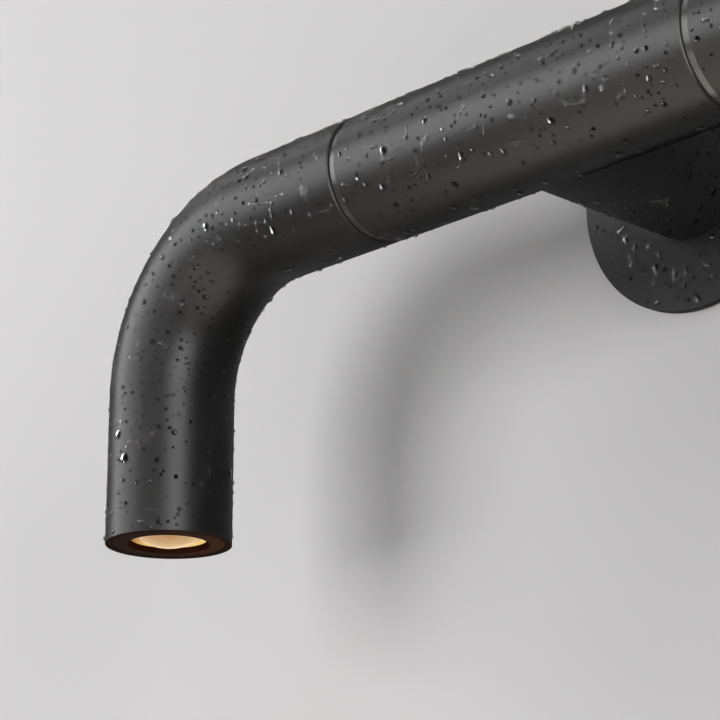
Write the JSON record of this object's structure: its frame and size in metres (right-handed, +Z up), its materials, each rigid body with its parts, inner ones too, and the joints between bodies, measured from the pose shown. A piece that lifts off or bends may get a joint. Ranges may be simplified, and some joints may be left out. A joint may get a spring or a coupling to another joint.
{
  "type": "twin swivelling wall spotlight",
  "caption": "Outdoor wall light of black round tube: a wall plate and short neck carry a level cross tube whose bent arms swivel and end in recessed warm spot lenses.",
  "frame": {"origin": "centre of the wall plate's back face, on the wall, midway between the two fixing slots", "axes": "+X along the cross tube to the right as seen from in front, +Y into the wall, +Z up; the light stands out towards -Y"},
  "size_m": [0.455, 0.11, 0.1741],
  "materials": {
    "lead_sheath": "satin",
    "black_coat": "satin",
    "stainless": "satin",
    "seal_rubber": "matte",
    "zinc_steel": "satin",
    "earth_insulation": "satin",
    "brass": "satin",
    "nylon": "matte",
    "bare_aluminium": "satin",
    "board_white": "satin",
    "led_phosphor": "satin",
    "driver_case": "matte",
    "lens_clear": "gloss",
    "brown_insulation": "satin",
    "blue_insulation": "satin",
    "holder_black": "matte",
    "black_anodised": "satin",
    "terminal_plastic": "satin",
    "gasket_foam": "matte"
  },
  "bodies": {
    "wall_mount": {"bracket_screws": "stainless", "cable_grommet": "seal_rubber", "cross_tube": "black_coat", "driver_lead_left": "lead_sheath", "driver_lead_right": "lead_sheath", "driver_screws": "stainless", "driver_tray": "zinc_steel", "earth_lead": "earth_insulation", "earth_tag": "brass", "friction_washers": "nylon", "hub_grub_screws": "stainless", "hub_seals": "seal_rubber", "led_driver": "driver_case", "live_lead": "brown_insulation", "neck_grub_screws": "stainless", "neck_seal": "seal_rubber", "neck_spigot": "bare_aluminium", "neck_tube": "black_coat", "neutral_lead": "blue_insulation", "spigot_screws": "stainless", "stop_pins": "stainless", "swivel_hub_left": "black_anodised", "swivel_hub_right": "black_anodised", "swivel_seals": "seal_rubber", "terminal_block": "terminal_plastic", "terminal_bracket": "zinc_steel", "terminal_screws": "zinc_steel", "wall_gasket": "gasket_foam", "wall_plate": "black_coat"},
    "left_arm": {"arm_lead_left": "lead_sheath", "arm_tube_left": "black_coat", "bezel_ring_left": "black_coat", "board_screws_left": "stainless", "disc_spring_left": "stainless", "heat_sink_left": "bare_aluminium", "heat_sink_screw_left": "stainless", "led_board_left": "board_white", "led_chip_left": "led_phosphor", "lens_left": "lens_clear", "lens_seal_left": "seal_rubber", "lock_nut_left": "stainless", "optic_holder_left": "holder_black", "shaft_grub_screws_left": "stainless", "swivel_shaft_left": "bare_aluminium"},
    "right_arm": {"arm_lead_right": "lead_sheath", "arm_tube_right": "black_coat", "bezel_ring_right": "black_coat", "board_screws_right": "stainless", "disc_spring_right": "stainless", "heat_sink_right": "bare_aluminium", "heat_sink_screw_right": "stainless", "led_board_right": "board_white", "led_chip_right": "led_phosphor", "lens_right": "lens_clear", "lens_seal_right": "seal_rubber", "lock_nut_right": "stainless", "optic_holder_right": "holder_black", "shaft_grub_screws_right": "stainless", "swivel_shaft_right": "bare_aluminium"}
  },
  "joints": [
    {"name": "left_swivel", "type": "hinge", "parent": "wall_mount", "child": "left_arm", "pos_m": [-0.0845, -0.085, 0], "axis": [1, 0, 0], "range_deg": [-180, 25]},
    {"name": "right_swivel", "type": "hinge", "parent": "wall_mount", "child": "right_arm", "pos_m": [0.0845, -0.085, 0], "axis": [1, 0, 0], "range_deg": [-180, 25]}
  ]
}
